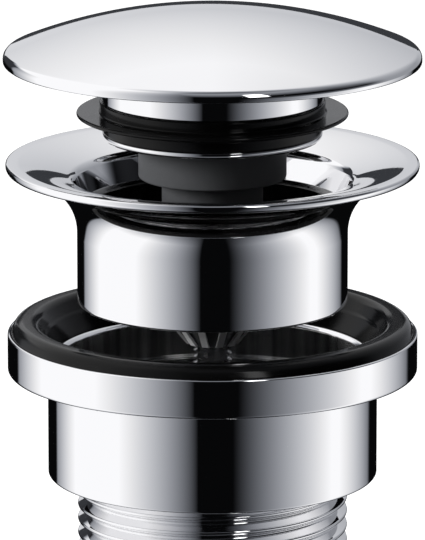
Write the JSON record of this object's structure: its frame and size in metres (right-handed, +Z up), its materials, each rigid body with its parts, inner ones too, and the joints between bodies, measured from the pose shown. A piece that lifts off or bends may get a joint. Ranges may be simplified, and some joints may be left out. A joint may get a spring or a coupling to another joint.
{
  "type": "pop up basin waste",
  "caption": "Push-open basin waste: domed cap on a sprung, sealed plug over a flanged body, clamped by a central screw to a lower body with a threaded tail.",
  "frame": {"origin": "centre of the tail's lower end, on the axis", "axes": "+Z up the axis from the tail to the cap; +X and +Y square to it, each midway between two ribs of the spider"},
  "size_m": [0.0644, 0.0644, 0.109],
  "materials": {
    "chrome": "polished",
    "chrome_dark": "satin",
    "rubber": "satin",
    "charcoal_plastic": "matte",
    "pale_plastic": "moulded",
    "steel": "plated",
    "brass": "cast and turned"
  },
  "bodies": {
    "lower": {"tail": "chrome", "cup_body": "chrome", "gasket": "rubber", "lower_cross": "brass"},
    "upper": {"valve_body": "chrome", "spider": "chrome_dark", "screw_washer": "steel", "barrel": "charcoal_plastic", "barrel_cap": "charcoal_plastic", "spring": "steel"},
    "screw": {"clamp_screw": "steel"},
    "ring": {"track_ring": "pale_plastic", "track_pins": "steel"},
    "plug": {"cap": "chrome", "plug_neck": "chrome", "plug_seal": "rubber", "seal_retainer": "chrome", "guide_sleeve": "charcoal_plastic", "plunger": "pale_plastic", "plug_stud": "steel"}
  },
  "joints": [
    {"name": "clamp_slide", "type": "slide", "parent": "lower", "child": "upper", "axis": [0, 0, 1], "range_m": [-0.014, 0.008]},
    {"name": "screw_turn", "type": "hinge", "parent": "upper", "child": "screw", "pos_m": [0, 0, 0.061], "axis": [0, 0, 1], "range_deg": [-5041, 2881]},
    {"name": "plug_slide", "type": "slide", "parent": "upper", "child": "plug", "axis": [0, 0, 1], "range_m": [-0.0115, 0], "stiffness_N_per_m": 500, "springref_m": 0.012, "deforming": ["spring"]},
    {"name": "ring_turn", "type": "hinge", "parent": "upper", "child": "ring", "pos_m": [0, 0, 0.086], "axis": [0, 0, 1], "range_deg": [-0.5, 45.5]}
  ],
  "couplings": [
    {"joint": "screw_turn", "follows": "clamp_slide", "rad_per_m": 6283.2},
    {"joint": "ring_turn", "follows": "plug_slide", "rad_per_m": -68.295}
  ]
}
